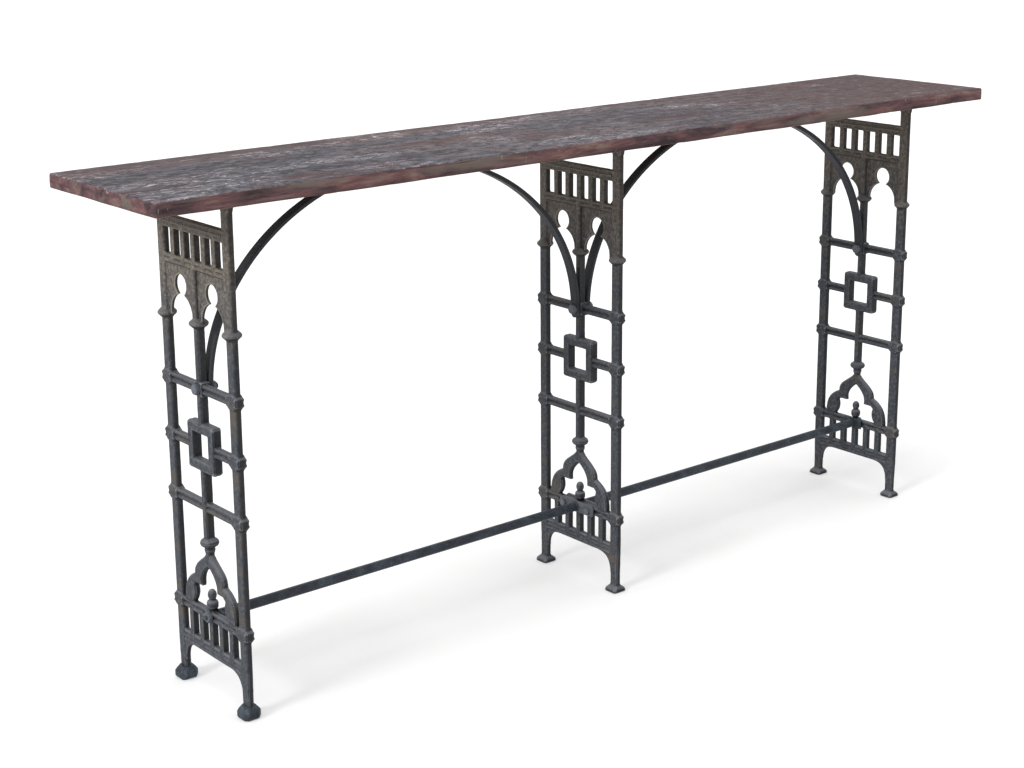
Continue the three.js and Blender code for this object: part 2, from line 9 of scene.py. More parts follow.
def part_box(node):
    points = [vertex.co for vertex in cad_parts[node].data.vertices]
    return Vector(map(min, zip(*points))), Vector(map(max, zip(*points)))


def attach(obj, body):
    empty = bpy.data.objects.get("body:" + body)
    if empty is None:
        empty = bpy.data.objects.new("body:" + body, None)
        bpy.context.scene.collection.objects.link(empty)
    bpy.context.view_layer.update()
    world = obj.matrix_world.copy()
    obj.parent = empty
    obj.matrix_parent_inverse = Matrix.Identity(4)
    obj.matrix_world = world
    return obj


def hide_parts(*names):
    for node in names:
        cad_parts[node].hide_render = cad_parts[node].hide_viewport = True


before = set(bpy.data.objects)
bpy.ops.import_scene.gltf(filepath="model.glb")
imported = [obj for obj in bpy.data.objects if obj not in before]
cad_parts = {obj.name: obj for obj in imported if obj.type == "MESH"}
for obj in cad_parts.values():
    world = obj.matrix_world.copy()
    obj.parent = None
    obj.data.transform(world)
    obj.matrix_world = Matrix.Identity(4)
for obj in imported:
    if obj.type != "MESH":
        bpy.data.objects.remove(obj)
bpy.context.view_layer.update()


def box_mm(node):
    """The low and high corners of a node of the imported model."""
    return [corner * 1000 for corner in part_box(node)]


def middle(node):
    low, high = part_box(node)
    return (low + high) * 500


# ------------------------------------------------------------------ sizes, in millimetres
SLAB_LOW, SLAB_HIGH = box_mm("tabletop")
UNDERSIDE_Z = SLAB_LOW.z
POST_TOP_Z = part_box("top_plate_middle_front")[0].z * 1000
POST_Y = middle("top_plate_middle_back").y
RAIL_Z = middle("rod_nut_left").z
BOLT_Z = middle("brace_bolt_left").z
FRAME_X = {n: middle("top_plate_" + n + "_front").x for n in ("left", "middle", "right")}

POST_WIDE, POST_DEEP, POST_CHAMFER = 23, 12, 3
LEG_WIDE, KNEE_WIDE, KNEE_Z, LEG_CHAMFER = 19, 19.5, 40, 2.5
LEG_START_ON_FOOT, LEG_START_ON_BLOCK = 7, 20
MULLION_WIDE, MULLION_DEEP, MULLION_CHAMFER = 14, 17, 3
RAIL_HIGH, RAIL_DEEP, RAIL_GROOVE = 17, 13, 3.5
BEAD = 3.3
HEAD_RAIL_Z = UNDERSIDE_Z - 60
ARCADE_RAIL_Z = UNDERSIDE_Z - 122
COLLAR_Z = UNDERSIDE_Z - 218
ARCH_COLLAR_Z = RAIL_Z + 132
APRON_Z = 82
LATTICE_OUT, LATTICE_BAR, LATTICE_DEEP = 83, 18, 17
TIER_LOW_Z, LATTICE_Z = (ARCH_COLLAR_Z + s * (COLLAR_Z - ARCH_COLLAR_Z) for s in (0.1675, 0.4425))
RAIL_TOP_Z = RAIL_Z + RAIL_HIGH / 2 - 1
OPEN_Y = POST_Y - POST_WIDE / 2
EYE_RADIUS, EYE_UP, RIM = 18, 49, 2.0
BAR_WIDE, BARS = 12, 5
SMALL_BEADS = 36
LEG_CURVE, LEG_INNER = 36, 10.5
BRACE_WIDE, BRACE_THICK, BRACE_FLAT = 20, 8, 54
BRACE_TURN = math.radians(79.5)
ROD_RADIUS = 9
ROD_END, ROD_THREAD, THREAD_STEP = 28, 0.7, 0.6
HEX_CHAMFER = 1.2
SLAB_ROUND = 2.6
VOXEL = 1.2
KEEP = 0.38


# ------------------------------------------------------------------ shells
class Shells:
    """Closed shells collected into one mesh, in millimetres."""

    def __init__(self):
        self.points, self.faces = [], []

    def loft(self, rings):
        start, n = len(self.points), len(rings[0])
        for ring in rings:
            self.points += [Vector(p) for p in ring]
        self.faces.append([start + i for i in reversed(range(n))])
        for k in range(len(rings) - 1):
            a, b = start + k * n, start + (k + 1) * n
            self.faces += [[a + i, a + (i + 1) % n, b + (i + 1) % n, b + i] for i in range(n)]
        self.faces.append([start + (len(rings) - 1) * n + i for i in range(n)])

    def slab_x(self, outline, half, bevel=0.0, x=0.0):
        """A (y, z) outline, anticlockwise, with both faces bevelled."""
        steps = [(-half, 0), (half, 0)]
        if bevel:
            steps = [(-half, bevel), (-half + bevel, 0), (half - bevel, 0), (half, bevel)]
        self.loft([[(x + at, y, z) for y, z in inset(outline, d)] for at, d in steps])

    def block(self, x, y, z, sx, sy, sz, bevel):
        self.slab_x(rectangle(y, z, sy, sz), sx / 2, bevel, x)

    def bar_y(self, radius, y0, y1, x, z, sides=8):
        around = [(radius * math.cos(t), radius * math.sin(t)) for t in turn(sides)]
        self.loft([[(x + u, y, z - v) for u, v in around] for y in (y0, y1)])

    def lathe_z(self, profile, y, z, x=0.0, sides=24):
        """A profile of (radius, height) from the bottom up."""
        around = [(math.cos(t), math.sin(t)) for t in turn(sides)]
        self.loft([[(x + r * u, y + r * v, z + h) for u, v in around] for r, h in profile])

    def lathe_x(self, profile, y, z, sides=24):
        """A profile of (radius, x) towards +X."""
        around = [(math.cos(t), math.sin(t)) for t in turn(sides)]
        self.loft([[(x, y + r * u, z + r * v) for u, v in around] for r, x in profile])

    def column(self, x, y, sections):
        """Eight-sided sections (z, deep, wide, corner) from the bottom up."""
        rings = []
        for z, deep, wide, cut in sections:
            rings.append([(x + u, y + v, z) for u, v in eight(deep / 2, wide / 2, cut)])
        self.loft(rings)

    def bead(self, path, radius, x, sides=8):
        """A round moulding along a path of (y, z)."""
        rings = []
        for i, (y, z) in enumerate(path):
            before, after = path[max(i - 1, 0)], path[min(i + 1, len(path) - 1)]
            along = Vector((after[0] - before[0], after[1] - before[1])).normalized()
            ring = []
            for t in turn(sides):
                out = radius * math.sin(t)
                ring.append((x + radius * math.cos(t), y - along.y * out, z + along.x * out))
            rings.append(ring)
        self.loft(rings)


def turn(sides):
    return [2 * math.pi * i / sides for i in range(sides)]


def eight(u, v, c):
    """A rectangle of half sizes u and v with its corners cut by c, anticlockwise."""
    first = [(u, c - v), (u, v - c), (u - c, v), (c - u, v)]
    return first + [(-u, v - c), (-u, c - v), (c - u, -v), (u - c, -v)]


def rectangle(y, z, wide, high, cut=0.0):
    if cut:
        return [(y + b, z + a) for a, b in eight(high / 2, wide / 2, cut)][::-1]
    v, w = wide / 2, high / 2
    return [(y - v, z - w), (y + v, z - w), (y + v, z + w), (y - v, z + w)]


def inset(outline, d):
    """The outline moved inwards by d along the mitres."""
    if not d:
        return outline
    n, out = len(outline), []
    sharpest = 0.55
    for i, (y, z) in enumerate(outline):
        before, after = Vector(outline[i - 1]), Vector(outline[(i + 1) % n])
        here = Vector((y, z))
        a, b = (here - before).normalized(), (after - here).normalized()
        na, nb = Vector((-a.y, a.x)), Vector((-b.y, b.x))
        mitre = na + nb
        scale = d / max(sharpest, mitre.normalized().dot(na)) if mitre.length > 1e-6 else d
        at = here + mitre.normalized() * scale
        out.append((at.x, at.y))
    return out


def mirrored(upper):
    """A profile of (radius, height) that starts at height 0, with its mirror image below."""
    return [(r, -h) for r, h in upper[:0:-1]] + upper


def bezier(a, b, c, d, steps=9):
    a, b, c, d = map(Vector, (a, b, c, d))
    curve = []
    for i in range(1, steps + 1):
        t = i / steps
        back = 1 - t
        curve.append(tuple(a * back ** 3 + b * 3 * t * back ** 2 + c * 3 * t * t * back + d * t ** 3))
    return curve


def arc(y, z, radius, start, end, steps):
    angles = [math.radians(start + (end - start) * i / steps) for i in range(steps + 1)]
    return [(y + radius * math.cos(t), z + radius * math.sin(t)) for t in angles]


def to_object(name, shells, x=0.0):
    mesh = bpy.data.meshes.new(name)
    mesh.from_pydata([(p + Vector((x, 0, 0))) / 1000 for p in shells.points], [], shells.faces)
    mesh.update()
    made = bpy.data.objects.new(name, mesh)
    bpy.context.scene.collection.objects.link(made)
    return made


def cast(made, voxel=VOXEL, smooth=2, rough=0.2):
    """Fuses the shells into one skin with rounded inner corners, thins it and roughens it like sand."""
    fuse = made.modifiers.new("fuse", "REMESH")
    fuse.mode, fuse.voxel_size, fuse.use_smooth_shade = "VOXEL", voxel / 1000, True
    soften = made.modifiers.new("soften", "SMOOTH")
    soften.factor, soften.iterations = 0.5, smooth
    thin = made.modifiers.new("thin", "DECIMATE")
    thin.ratio = KEEP
    bpy.context.view_layer.update()
    mesh = bpy.data.meshes.new_from_object(made.evaluated_get(bpy.context.evaluated_depsgraph_get()))
    made.modifiers.clear()
    old, made.data = made.data, mesh
    bpy.data.meshes.remove(old)
    mesh.name = made.name
    wobble(made, rough, 110)
    return made


def wobble(made, height, scale):
    """Moves the surface in and out a little along its normals."""
    mesh = made.data
    n = len(mesh.vertices)
    at, out = np.empty(n * 3, np.float32), np.empty(n * 3, np.float32)
    mesh.vertices.foreach_get("co", at)
    mesh.vertices.foreach_get("normal", out)
    at, out = at.reshape(-1, 3), out.reshape(-1, 3)
    lift = [noise.noise(p * scale) + 0.5 * noise.noise(p * scale * 2.7) for p in map(Vector, at)]
    lift = np.array(lift, np.float32)
    mesh.vertices.foreach_set("co", (at + out * (lift * height / 1000)[:, None]).ravel())
    mesh.update()


def finish_piece(made, nodes, material, smooth_angle=None):
    made.data.materials.clear()
    made.data.materials.append(material)
    made.data.polygons.foreach_set("use_smooth", [True] * len(made.data.polygons))
    if smooth_angle:
        made.data.set_sharp_from_angle(angle=math.radians(smooth_angle))
    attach(made, "root")
    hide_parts(*nodes)


# ------------------------------------------------------------------ materials
def colour(text):
    value = [int(text[i:i + 2], 16) / 255 for i in (1, 3, 5)]
    return tuple(v / 12.92 if v <= 0.04045 else ((v + 0.055) / 1.055) ** 2.4 for v in value) + (1,)


class Graph:
    """A material's nodes, written as nested calls."""

    def __init__(self, name):
        self.material = bpy.data.materials.new(name)
        self.material.use_nodes = True
        self.tree = self.material.node_tree
        self.tree.nodes.clear()
        self.at = self.make("ShaderNodeTexCoord").outputs["Object"]

    def make(self, kind, inputs=(), **settings):
        node = self.tree.nodes.new(kind)
        for key, value in settings.items():
            setattr(node, key, value)
        for key, value in dict(inputs).items():
            self.feed(node.inputs[key], value)
        return node

    def feed(self, socket, value):
        """Links another node's output, or sets a uniform value on the socket."""
        if isinstance(value, bpy.types.NodeSocket):
            self.tree.links.new(value, socket)
        else:
            socket.default_value = value

    def noise(self, stretch, detail=4, rough=0.55, twist=0.0, offset=0.0):
        inputs = {"Vector": self.at, "Scale": stretch, "Location": (offset,) * 3}
        where = self.make("ShaderNodeMapping", inputs).outputs[0]
        inputs = {"Vector": where, "Scale": 1.0, "Detail": detail, "Roughness": rough, "Distortion": twist}
        return self.make("ShaderNodeTexNoise", inputs).outputs[0]

    def span(self, value, low, high, out_low=0.0, out_high=1.0):
        """A smooth step from out_low to out_high as the value goes from low to high."""
        inputs = {"Value": value, "From Min": low, "From Max": high, "To Min": out_low, "To Max": out_high}
        return self.make("ShaderNodeMapRange", inputs, interpolation_type="SMOOTHSTEP").outputs[0]

    def sum(self, a, b, operation="ADD"):
        return self.make("ShaderNodeMath", {0: a, 1: b}, operation=operation).outputs[0]

    def times(self, a, b):
        return self.sum(a, b, "MULTIPLY")

    def split(self, vector):
        return self.make("ShaderNodeSeparateXYZ", {0: vector}).outputs

    def geometry(self, name):
        return self.make("ShaderNodeNewGeometry").outputs[name]

    def ramp(self, value, stops):
        node = self.make("ShaderNodeValToRGB", {"Fac": value})
        while len(node.color_ramp.elements) < len(stops):
            node.color_ramp.elements.new(0.5)
        for element, (place, text) in zip(node.color_ramp.elements, stops):
            element.position, element.color = place, colour(text)
        return node.outputs["Color"]

    def mix(self, amount, a, b):
        """The colour a mixed towards b; a colour is a socket or a text such as #808080."""
        node = self.make("ShaderNodeMix", data_type="RGBA", blend_type="MIX")
        self.feed(node.inputs[0], amount)
        for socket, value in ((node.inputs[6], a), (node.inputs[7], b)):
            self.feed(socket, colour(value) if isinstance(value, str) else value)
        return node.outputs[2]

    def tint(self, base, cause, low, high, most, other):
        """The base mixed towards another colour, by up to most, as the cause goes from low to high."""
        return self.mix(self.span(cause, low, high, 0, most), base, other)

    def bump(self, height, strength, distance, under=None):
        inputs = {"Height": height, "Strength": strength, "Distance": distance}
        if under is not None:
            inputs["Normal"] = under
        return self.make("ShaderNodeBump", inputs).outputs[0]

    def end(self, base, roughness, normal, specular):
        inputs = {"Base Color": base, "Roughness": roughness, "Normal": normal}
        inputs.update({"Metallic": 0.0, "Specular IOR Level": specular})
        shader = self.make("ShaderNodeBsdfPrincipled", inputs)
        out = self.make("ShaderNodeOutputMaterial")
        self.tree.links.new(shader.outputs[0], out.inputs[0])
        return shader


def iron_material():
    """Old dark paint, cool and bluish low down, brown and dusty near the slab, with painted shade in every
    recess, on the sides facing ±Y and underneath, and painted highlight with dust on the tops and rubbed edges.
    """
    g = Graph("cast_iron_worn_painted_light")
    height = g.split(g.at)[2]
    blotch = g.noise((14, 14, 14), 5, 0.6)
    fine = g.noise((170, 170, 170), 4, 0.6, offset=3)
    grit = g.noise((620, 620, 620), 3, 0.6, offset=7)
    warm = g.span(g.sum(g.times(blotch, 0.22), height), 0.68, 0.90)
    cool = g.ramp(fine, [(0.3, "#1c1e23"), (0.5, "#303338"), (0.72, "#4c4f55")])
    brown = g.ramp(fine, [(0.3, "#302c28"), (0.5, "#524c46"), (0.72, "#746d66")])
    base = g.mix(warm, cool, brown)
    base = g.tint(base, g.noise((9, 9, 22), 5, 0.65, offset=5), 0.5, 0.68, 0.5, "#4d4335")
    edge = g.geometry("Pointiness")
    normal = g.split(g.geometry("Normal"))
    # Painted shade: faces turned towards ±Y are darkened towards near-black, standing in for the shade on the
    # sides away from the light.
    side_facing_for_painted_shade = g.sum(normal[1], 0.0, "ABSOLUTE")
    base = g.tint(base, side_facing_for_painted_shade, 0.45, 0.9, 0.72, "#0f1013")
    # Painted highlight with dust: faces turned upwards are made paler and tan, as if lit from above.
    base = g.tint(base, normal[2], 0.25, 0.85, 0.5, g.mix(warm, "#64656a", "#77736b"))
    # Painted shade: faces turned downwards are darkened towards near-black.
    base = g.tint(base, normal[2], -0.2, -0.7, 0.75, "#0e0e10")
    # Painted highlight with wear: sharp edges and ridges are made paler.
    base = g.tint(base, edge, 0.506, 0.55, 0.75, g.mix(warm, "#6f7177", "#877c6d"))
    # Painted shade: ambient occlusion darkens every recess and the gaps between parts towards near-black.
    open_air = g.make("ShaderNodeAmbientOcclusion", {"Distance": 0.016}, samples=6).outputs["AO"]
    painted_hollow_shade = g.span(g.sum(open_air, g.times(fine, 0.2)), 0.62, 1.0, 0.85, 0)
    base = g.mix(painted_hollow_shade, base, "#0e0d0c")
    bump = g.bump(grit, 0.5, 0.0006, g.bump(fine, 0.6, 0.0012))
    g.end(base, g.span(fine, 0.3, 0.7, 0.5, 0.72), bump, 0.22)
    return g.material


def steel_material(name, dark, mid, light, shine):
    """Blackened steel, a little paler along its edges."""
    g = Graph(name)
    patch = g.noise((30, 30, 30), 5, 0.6)
    fine = g.noise((240, 240, 240), 4, 0.6, offset=2)
    base = g.ramp(g.sum(g.times(patch, 0.6), g.times(fine, 0.4)), [(0.36, dark), (0.5, mid), (0.66, light)])
    base = g.tint(base, g.geometry("Pointiness"), 0.53, 0.62, 0.5, "#66676b")
    g.end(base, g.span(patch, 0.3, 0.7, 0.42, 0.62), g.bump(fine, 0.35, 0.0006), shine)
    return g.material


def wood_top(g, x, y, grain, mottle):
    """Slate paint worn to red-brown, redder towards +X and the back edge, with pale scuffs."""
    streak = g.noise((2.1, 30, 30), 5, 0.6, 0.4, offset=4)
    patch = g.noise((2.6, 9, 9), 5, 0.6, 0.8, offset=1)
    tone = g.sum(g.sum(g.times(patch, 0.62), g.times(streak, 0.38)), g.times(x, 0.055))
    stops = [(0.36, "#22252c"), (0.45, "#373a42"), (0.52, "#48474c"), (0.58, "#4f4344"), (0.66, "#534744")]
    top = g.tint(g.ramp(tone, stops), mottle, 0.4, 0.62, 0.55, "#665e60")
    coarse = g.noise((44, 62, 62), 6, 0.75, 0.6, offset=51)
    top = g.tint(top, coarse, 0.53, 0.4, 0.7, "#211b1e")
    top = g.tint(top, x, -0.1, 0.95, 0.68, "#412f2e")
    top = g.tint(top, coarse, 0.56, 0.68, 0.5, "#7d7274")
    top = g.tint(top, g.noise((5, 24, 24), 4, 0.6, 0.5, offset=12), 0.53, 0.68, 0.7, "#432f2e")
    top = g.tint(top, grain, 0.54, 0.7, 0.65, "#1f1d21")
    back = g.span(g.sum(y, g.times(x, -0.05)), 0.10, 0.17)
    top = g.mix(g.times(back, 0.6), top, "#483838")
    where = g.span(g.sum(g.noise((3.4, 11, 11), 4, 0.55, offset=15), g.times(x, -0.08)), 0.5, 0.64)
    flecks = g.span(g.noise((38, 110, 110), 7, 0.82, 1.2, offset=20), 0.5, 0.62)
    top = g.mix(g.times(g.times(flecks, where), 0.8), top, "#a19ca1")
    scuffs = g.span(g.noise((210, 300, 300), 4, 0.7, 0.4, offset=24), 0.6, 0.7)
    return g.mix(g.times(scuffs, 0.45), top, "#797476")


def wood_side(g, z, grain):
    """Red-brown edges, chipped pale and darker along the lower corner."""
    stops = [(0.34, "#31292c"), (0.46, "#4a393b"), (0.56, "#604545"), (0.68, "#6c5e57")]
    side = g.ramp(g.noise((11, 30, 60), 5, 0.65, 0.3, offset=30), stops)
    side = g.tint(side, g.noise((3.2, 20, 20), 4, 0.6, offset=33), 0.5, 0.64, 0.75, "#5d5550")
    side = g.tint(side, grain, 0.55, 0.7, 0.55, "#2b2123")
    side = g.tint(side, g.noise((160, 30, 30), 4, 0.7, offset=37), 0.66, 0.72, 0.7, "#938985")
    corner = UNDERSIDE_Z / 1000
    return g.tint(side, z, corner + 0.008, corner + 0.001, 0.4, "#3a2e2d")


def wood_material():
    g = Graph("painted_wood_worn")
    x, y, z = g.split(g.at)
    up = g.split(g.geometry("Normal"))[2]
    grain = g.noise((7, 150, 150), 7, 0.65)
    mottle = g.noise((26, 60, 60), 5, 0.7, offset=8)
    under = g.ramp(g.noise((4, 70, 70), 6, 0.6, offset=41), [(0.35, "#4a3b33"), (0.6, "#7b6656")])
    base = g.mix(g.span(up, -0.4, -0.8), wood_side(g, z, grain), under)
    base = g.mix(g.span(up, 0.35, 0.75), base, wood_top(g, x, y, grain, mottle))
    base = g.tint(base, g.geometry("Pointiness"), 0.53, 0.6, 0.35, "#8a7674")
    bump = g.bump(grain, 0.35, 0.0012, g.bump(mottle, 0.3, 0.002))
    g.end(base, g.span(mottle, 0.35, 0.65, 0.55, 0.75), bump, 0.05)
    return g.material


IRON = iron_material()
STEEL = steel_material("blackened_flat_bar", "#0c0d11", "#15171c", "#23262c", 0.12)
ROUND_STEEL = steel_material("blackened_round_bar", "#171b21", "#252b32", "#3d454d", 0.2)
BOLTS = steel_material("blackened_fasteners", "#171d26", "#28303c", "#465160", 0.3)
WOOD = wood_material()


# ------------------------------------------------------------------ cast frames
POST_COLLAR = mirrored([(16.5, 0), (16, 2.2), (13, 5), (10.5, 7.5), (8, 10)])
MULLION_COLLAR = mirrored([(16.5, 0), (16, 2.2), (13, 5), (10.5, 7), (8, 9)])
ARCH_COLLAR = [(6, -20), (8.5, -17), (9.5, -13), (8.5, -9), (10.5, -7), (15, -4)]
ARCH_COLLAR += [(16.5, 0), (15, 4), (10.5, 7), (8, 9)]
FINIAL = [(6, -2), (6, 4), (9.4, 8), (10, 10), (10, 17), (9, 20), (6, 21.5)]
FINIAL += [(5.8, 24.5), (7.2, 27), (7.8, 31), (7, 35.5), (4.5, 39.5), (1, 41)]
SMALL_BEAD = mirrored([(2.5, 0), (1.9, 1.5), (0.4, 2.3)])
FOOT = [(0, 29, 29, 3), (1.2, 31, 31, 3), (5.5, 30, 30, 3)]
FOOT += [(8.5, 24, 26, 3), (12, 14, 20, 3), (20, 11, 18, 2.5)]
BLOCK = [(0, 30, 30, 5), (4, 34.5, 34.5, 7), (6, 35, 35, 8)]
BLOCK += [(13, 35, 35, 8), (16, 31, 31, 8), (22, 21, 22, 5)]
SHAFT = (POST_DEEP, POST_WIDE, POST_CHAMFER)
MULLION = (MULLION_DEEP, MULLION_WIDE, MULLION_CHAMFER)


def beaded_rail(s, z, y0, y1, high=RAIL_HIGH, deep=RAIL_DEEP):
    """A rail with a half-round moulding along each of its four edges and a groove along both faces."""
    s.block(0, (y0 + y1) / 2, z, deep - 2 * RAIL_GROOVE, y1 - y0, high - 3, 1.5)
    for up in (-1, 1):
        for side in (-1, 1):
            s.bar_y(BEAD, y0, y1, side * (deep / 2 - BEAD), z + up * (high / 2 - BEAD), 12)


def keyhole(side):
    """The plate in one half of the head, and the rim of its opening, from the post to the mullion."""
    centre = side * (OPEN_Y + MULLION_WIDE / 2) / 2
    radius = (OPEN_Y - MULLION_WIDE / 2) / 2 - 8.5
    low = COLLAR_Z + 6
    reach = (EYE_UP ** 2 + radius ** 2 - EYE_RADIUS ** 2) / (2 * EYE_UP)
    cusp = math.degrees(math.acos(reach / radius))
    eye_cusp = math.degrees(math.asin(radius * math.sin(math.radians(cusp)) / EYE_RADIUS))
    edge = [(centre + radius, COLLAR_Z)] + arc(centre, low, radius, 0, 90 - cusp, 14)
    edge += arc(centre, low + EYE_UP, EYE_RADIUS, -90 + eye_cusp, 270 - eye_cusp, 30)[1:-1]
    edge += arc(centre, low, radius, 90 + cusp, 180, 14) + [(centre - radius, COLLAR_Z)]
    left, right = sorted((side * (MULLION_WIDE / 2 - 2), side * (OPEN_Y + 2)))
    plate = [(right, COLLAR_Z), (right, ARCADE_RAIL_Z), (left, ARCADE_RAIL_Z), (left, COLLAR_Z)] + edge[::-1]
    rim = inset(edge, -RIM)
    rim[0], rim[-1] = (edge[0][0] + RIM, COLLAR_Z), (edge[-1][0] - RIM, COLLAR_Z)
    return plate, rim


def arch_outline(side):
    """Half of the cusped arch, anticlockwise."""
    rise = ARCH_COLLAR_Z - RAIL_TOP_Z

    def at(across, up):
        return (across * OPEN_Y, RAIL_TOP_Z + up * rise)

    outside = [at(-0.02, 0.83), at(0.075, 0.83)]
    outside += bezier(outside[-1], at(0.21, 0.7), at(0.54, 0.64), at(0.515, 0.46))
    outside += bezier(outside[-1], at(0.79, 0.375), at(0.91, 0.245), at(0.9, 0))
    inside = [at(0.63, 0)]
    inside += bezier(inside[-1], at(0.5, 0.1), at(0.5, 0.195), at(0.545, 0.277))
    inside += [at(0.48, 0.318), at(0.26, 0.318)]
    inside += bezier(inside[-1], at(0.31, 0.44), at(0.21, 0.555), at(-0.02, 0.66))
    points = outside + inside
    if side > 0:
        return points[::-1]
    return [(-y, z) for y, z in points]


def draw_post(s, y, feet):
    """A post with its leg, flared head, collar and bosses, and its foot if it has one."""
    s.column(0, y, [(APRON_Z - 4, *SHAFT), (POST_TOP_Z - 3, *SHAFT)])
    low = LEG_START_ON_FOOT if feet else LEG_START_ON_BLOCK
    leg = [(low, POST_DEEP, LEG_WIDE, LEG_CHAMFER), (KNEE_Z, POST_DEEP, KNEE_WIDE, LEG_CHAMFER)]
    s.column(0, y, leg + [(APRON_Z, *SHAFT)])
    w = POST_WIDE / 2
    head = [(y - w, POST_TOP_Z - 14), (y + w, POST_TOP_Z - 14), (y + w + 1, POST_TOP_Z - 8)]
    head += [(y + w + 3.5, POST_TOP_Z - 4), (y + w + 3.5, POST_TOP_Z)]
    head += [(2 * y - a, b) for a, b in head[:1:-1]]
    s.slab_x(head, POST_DEEP / 2, 1.5)
    s.lathe_z(POST_COLLAR, y, COLLAR_Z)
    for z in (RAIL_Z, TIER_LOW_Z, LATTICE_Z, BOLT_Z):
        s.slab_x(rectangle(y, z, 30, 28, 7), 9, 3)
        for up in (-5, 5):
            for face in (-6.6, 6.6):
                s.bar_y(3.2, y - 13.5, y + 13.5, face, z + up)
    if feet:
        s.column(0, y, FOOT)


def draw_head_rail(s):
    """The head rail between two thin mouldings, with a row of small beads along both faces."""
    s.block(0, 0, HEAD_RAIL_Z - 1, 10, 2 * POST_Y, 17, 2)
    s.block(0, 0, HEAD_RAIL_Z + 8, 14, 2 * POST_Y, 4.5, 1.5)
    s.block(0, 0, HEAD_RAIL_Z - 8, 12.5, 2 * POST_Y, 4, 1.5)
    for face in (-5.2, 5.2):
        for k in range(SMALL_BEADS):
            y = (k - (SMALL_BEADS - 1) / 2) * 2 * OPEN_Y / SMALL_BEADS
            s.lathe_z(SMALL_BEAD, y, HEAD_RAIL_Z, face, 8)


def draw_arcades(s):
    """The upright bars between the two head rails, and between the apron and the lower rail."""
    pitch = (2 * OPEN_Y + BAR_WIDE) / (BARS + 1)
    for low, high in ((ARCADE_RAIL_Z, HEAD_RAIL_Z), (APRON_Z, RAIL_Z)):
        for i in range(1, BARS + 1):
            y = i * pitch - OPEN_Y - BAR_WIDE / 2
            s.slab_x(rectangle(y, (low + high) / 2, BAR_WIDE, high - low), 6, 0.8)


def draw_mullion(s):
    """The mullion in two lengths, with its collars and the boss that takes the bolt."""
    s.column(0, 0, [(ARCH_COLLAR_Z - 24, 14, 12, 3), (ARCH_COLLAR_Z, *MULLION),
                    (LATTICE_Z - LATTICE_OUT / 2 + 5, *MULLION)])
    s.column(0, 0, [(LATTICE_Z + LATTICE_OUT / 2 - 5, *MULLION),
                    (ARCADE_RAIL_Z, MULLION_DEEP - 1, MULLION_WIDE, MULLION_CHAMFER)])
    s.lathe_z(MULLION_COLLAR, 0, COLLAR_Z)
    s.lathe_z(ARCH_COLLAR, 0, ARCH_COLLAR_Z)
    s.block(0, 0, BOLT_Z, 18, 24, 24, 1.5)


def draw_lattice(s):
    """A square ring of bars with a rolled rim inside and outside."""
    half, bar = LATTICE_OUT / 2, LATTICE_BAR
    for side in (-1, 1):
        at = side * (half - bar / 2)
        s.slab_x(rectangle(0, LATTICE_Z + at, LATTICE_OUT, bar, 4), LATTICE_DEEP / 2, 2)
        s.slab_x(rectangle(at, LATTICE_Z, bar, LATTICE_OUT, 4), LATTICE_DEEP / 2, 2)
        for inwards in (3.5, bar - 3):
            reach = half - inwards
            path = rectangle(0, LATTICE_Z, 2 * reach, 2 * reach)
            for i in range(4):
                s.bead([path[i - 1], path[i]], 2.4, side * (LATTICE_DEEP / 2 - 1.4))


def draw_apron(s):
    """The apron with a quarter curve into each leg and a moulding along its lower edge."""
    out, inner, under = POST_Y + POST_WIDE / 2 - 3, POST_Y - LEG_INNER, APRON_Z - 10

    def quarter(side):
        a = Vector((side * (inner - LEG_CURVE), under))
        b = Vector((side * inner, under))
        c = Vector((side * inner, under - LEG_CURVE))
        return [tuple(a * (1 - t) ** 2 + b * 2 * t * (1 - t) + c * t * t) for t in (i / 10 for i in range(11))]

    apron = [(out, under - LEG_CURVE), (out, APRON_Z), (-out, APRON_Z), (-out, under - LEG_CURVE)]
    s.slab_x(apron + quarter(-1)[::-1] + quarter(1), 5, 1.5)
    for face in (-4.6, 4.6):
        s.bar_y(2.4, -OPEN_Y, OPEN_Y, face, under + 4)


def draw_frame(feet):
    s = Shells()
    for side in (-1, 1):
        draw_post(s, side * POST_Y, feet)
        plate, rim = keyhole(side)
        s.slab_x(plate, 2.5)
        for face in (-1.4, 1.4):
            s.bead(rim, RIM, face)
        s.slab_x(arch_outline(side), 6.5, 3.0)
    for z in (TIER_LOW_Z, BOLT_Z, RAIL_Z):
        beaded_rail(s, z, -POST_Y, POST_Y)
    gap = LATTICE_OUT / 2 - 3
    for side in (-1, 1):
        beaded_rail(s, LATTICE_Z, *sorted((side * gap, side * POST_Y)))
    draw_head_rail(s)
    beaded_rail(s, ARCADE_RAIL_Z, -POST_Y, POST_Y, 15, 13)
    beaded_rail(s, APRON_Z + 5, -POST_Y, POST_Y, 14, 12)
    draw_arcades(s)
    draw_mullion(s)
    draw_lattice(s)
    s.lathe_z(FINIAL, 0, RAIL_TOP_Z)
    draw_apron(s)
    return s


for name, x in FRAME_X.items():
    casting = cast(to_object("iron_frame_" + name, draw_frame(name != "left"), x))
    finish_piece(casting, ["cast_frame_" + name], IRON)

for end in ("front", "back"):
    s = Shells()
    at = middle("foot_block_left_" + end)
    s.column(at.x, at.y, BLOCK)
    finish_piece(cast(to_object("foot_" + end, s)), ["foot_block_left_" + end], ROUND_STEEL)


